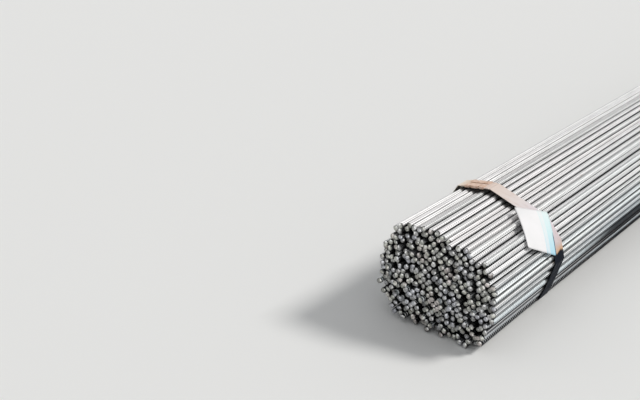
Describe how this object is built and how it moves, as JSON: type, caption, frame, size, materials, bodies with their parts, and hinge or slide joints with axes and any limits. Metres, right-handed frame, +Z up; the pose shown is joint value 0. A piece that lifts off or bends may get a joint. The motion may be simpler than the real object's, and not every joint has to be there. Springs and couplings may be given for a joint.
{
  "type": "rebar bundle",
  "caption": "Bundle of long steel reinforcing bars lying parallel, held by flat steel straps with crimped seals, with a blank card tag near one end.",
  "frame": {"origin": "on the ground under the middle of the bundle, halfway between the outermost bar ends", "axes": "+X along the bars, away from the end with the tag; +Y across, towards the side of the strap joints; +Z up"},
  "size_m": [9.0412, 0.3034, 0.2545],
  "materials": {
    "bar_steel": "satin",
    "strap_steel": "satin",
    "seal_steel": "matte",
    "tag_card": "satin"
  },
  "bodies": {
    "root": {"bars": "bar_steel", "strap_1": "strap_steel", "strap_2": "strap_steel", "strap_3": "strap_steel", "strap_4": "strap_steel", "strap_5": "strap_steel", "strap_6": "strap_steel", "strap_7": "strap_steel", "seal_1": "seal_steel", "seal_2": "seal_steel", "seal_3": "seal_steel", "seal_4": "seal_steel", "seal_5": "seal_steel", "seal_6": "seal_steel", "seal_7": "seal_steel", "tag": "tag_card"}
  },
  "joints": []
}
